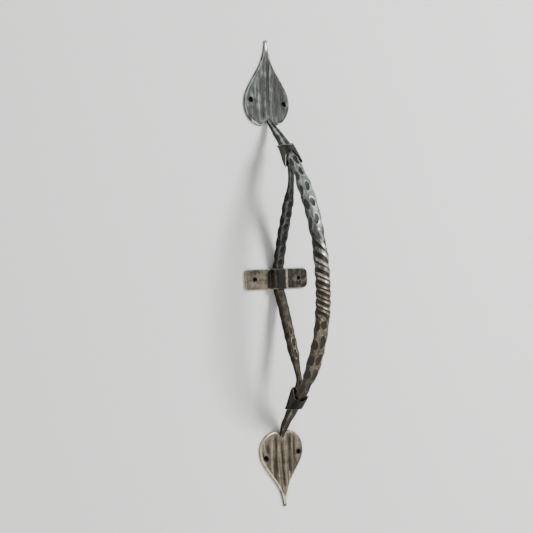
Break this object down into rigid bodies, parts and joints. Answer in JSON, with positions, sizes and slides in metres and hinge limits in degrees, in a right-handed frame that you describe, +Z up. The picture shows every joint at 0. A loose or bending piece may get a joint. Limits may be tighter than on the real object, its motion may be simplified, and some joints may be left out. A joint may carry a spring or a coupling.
{
  "type": "forged iron door pull",
  "caption": "Hand-forged door pull: a bowed hammered grip with an incised twist and leaf ends, bound by wrapped collars to a rear bar that bows back to the door under a saddle strap.",
  "frame": {"origin": "middle of the filed flat on the back of the rear bar, where it seats on the door under the saddle strap", "axes": "+Z up along the pull, +Y into the door with the door face at y = 0, +X to the right as one faces the door"},
  "size_m": [0.0752, 0.0945, 0.4797],
  "materials": {
    "brushed_iron": "hammered and patinated iron, brushed bright on the high spots",
    "black_iron": "hammered and blackened iron with a grey sheen on its ridges",
    "sheet_iron": "smooth blackened sheet with a bright worn rim",
    "strap_iron": "flat bar, lightly brushed over a dark patina"
  },
  "bodies": {
    "root": {"grip_bar": "brushed_iron", "rear_bar": "black_iron", "collar_upper": "sheet_iron", "collar_lower": "sheet_iron", "saddle_strap": "strap_iron"}
  },
  "joints": []
}
